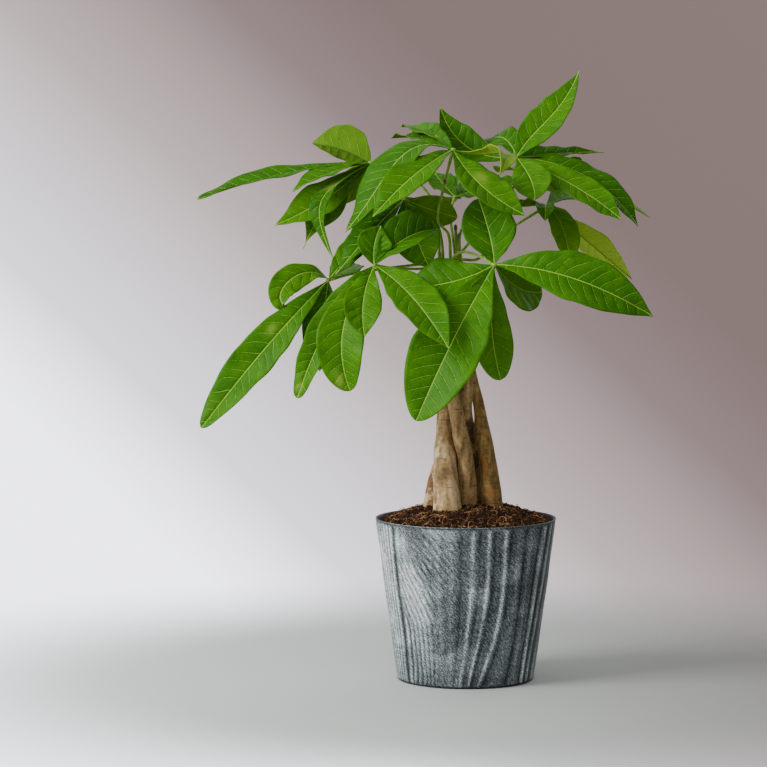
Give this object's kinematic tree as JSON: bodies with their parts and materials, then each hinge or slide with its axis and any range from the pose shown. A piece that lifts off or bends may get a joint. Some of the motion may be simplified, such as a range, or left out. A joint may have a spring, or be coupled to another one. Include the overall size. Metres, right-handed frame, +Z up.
{
  "type": "potted money tree",
  "caption": "Small braided money tree with palmate leaves on thin stalks, rooted in soil in a tapered grooved metal pot that stands on its flat base.",
  "frame": {"origin": "centre of the pot's flat base, on the surface that the pot stands on", "axes": "+Z up along the pot's axis to the crown, +X to the plant's right as seen from its front, -Y to the front"},
  "size_m": [0.3526, 0.271, 0.4724],
  "materials": {
    "pot_zinc": "weathered grey zinc with embossed grain and rubbed highlights",
    "soil": "moist crumbly peat and coir",
    "bark": "smooth tan bark with scars",
    "leaf": "waxy green leaf"
  },
  "bodies": {
    "root": {"pot": "pot_zinc", "soil": "soil", "trunk_front": "bark", "trunk_middle": "bark", "trunk_rear": "bark", "trunk_right": "bark", "trunk_left": "bark", "leaf_front_right": "leaf", "leaf_front_left": "leaf", "leaf_left": "leaf", "leaf_upper_left": "leaf", "leaf_top": "leaf", "leaf_upper_right": "leaf", "leaf_right": "leaf", "leaf_mid_left": "leaf", "leaf_back_middle": "leaf", "leaf_back_left": "leaf", "leaf_back_right": "leaf"}
  },
  "joints": []
}
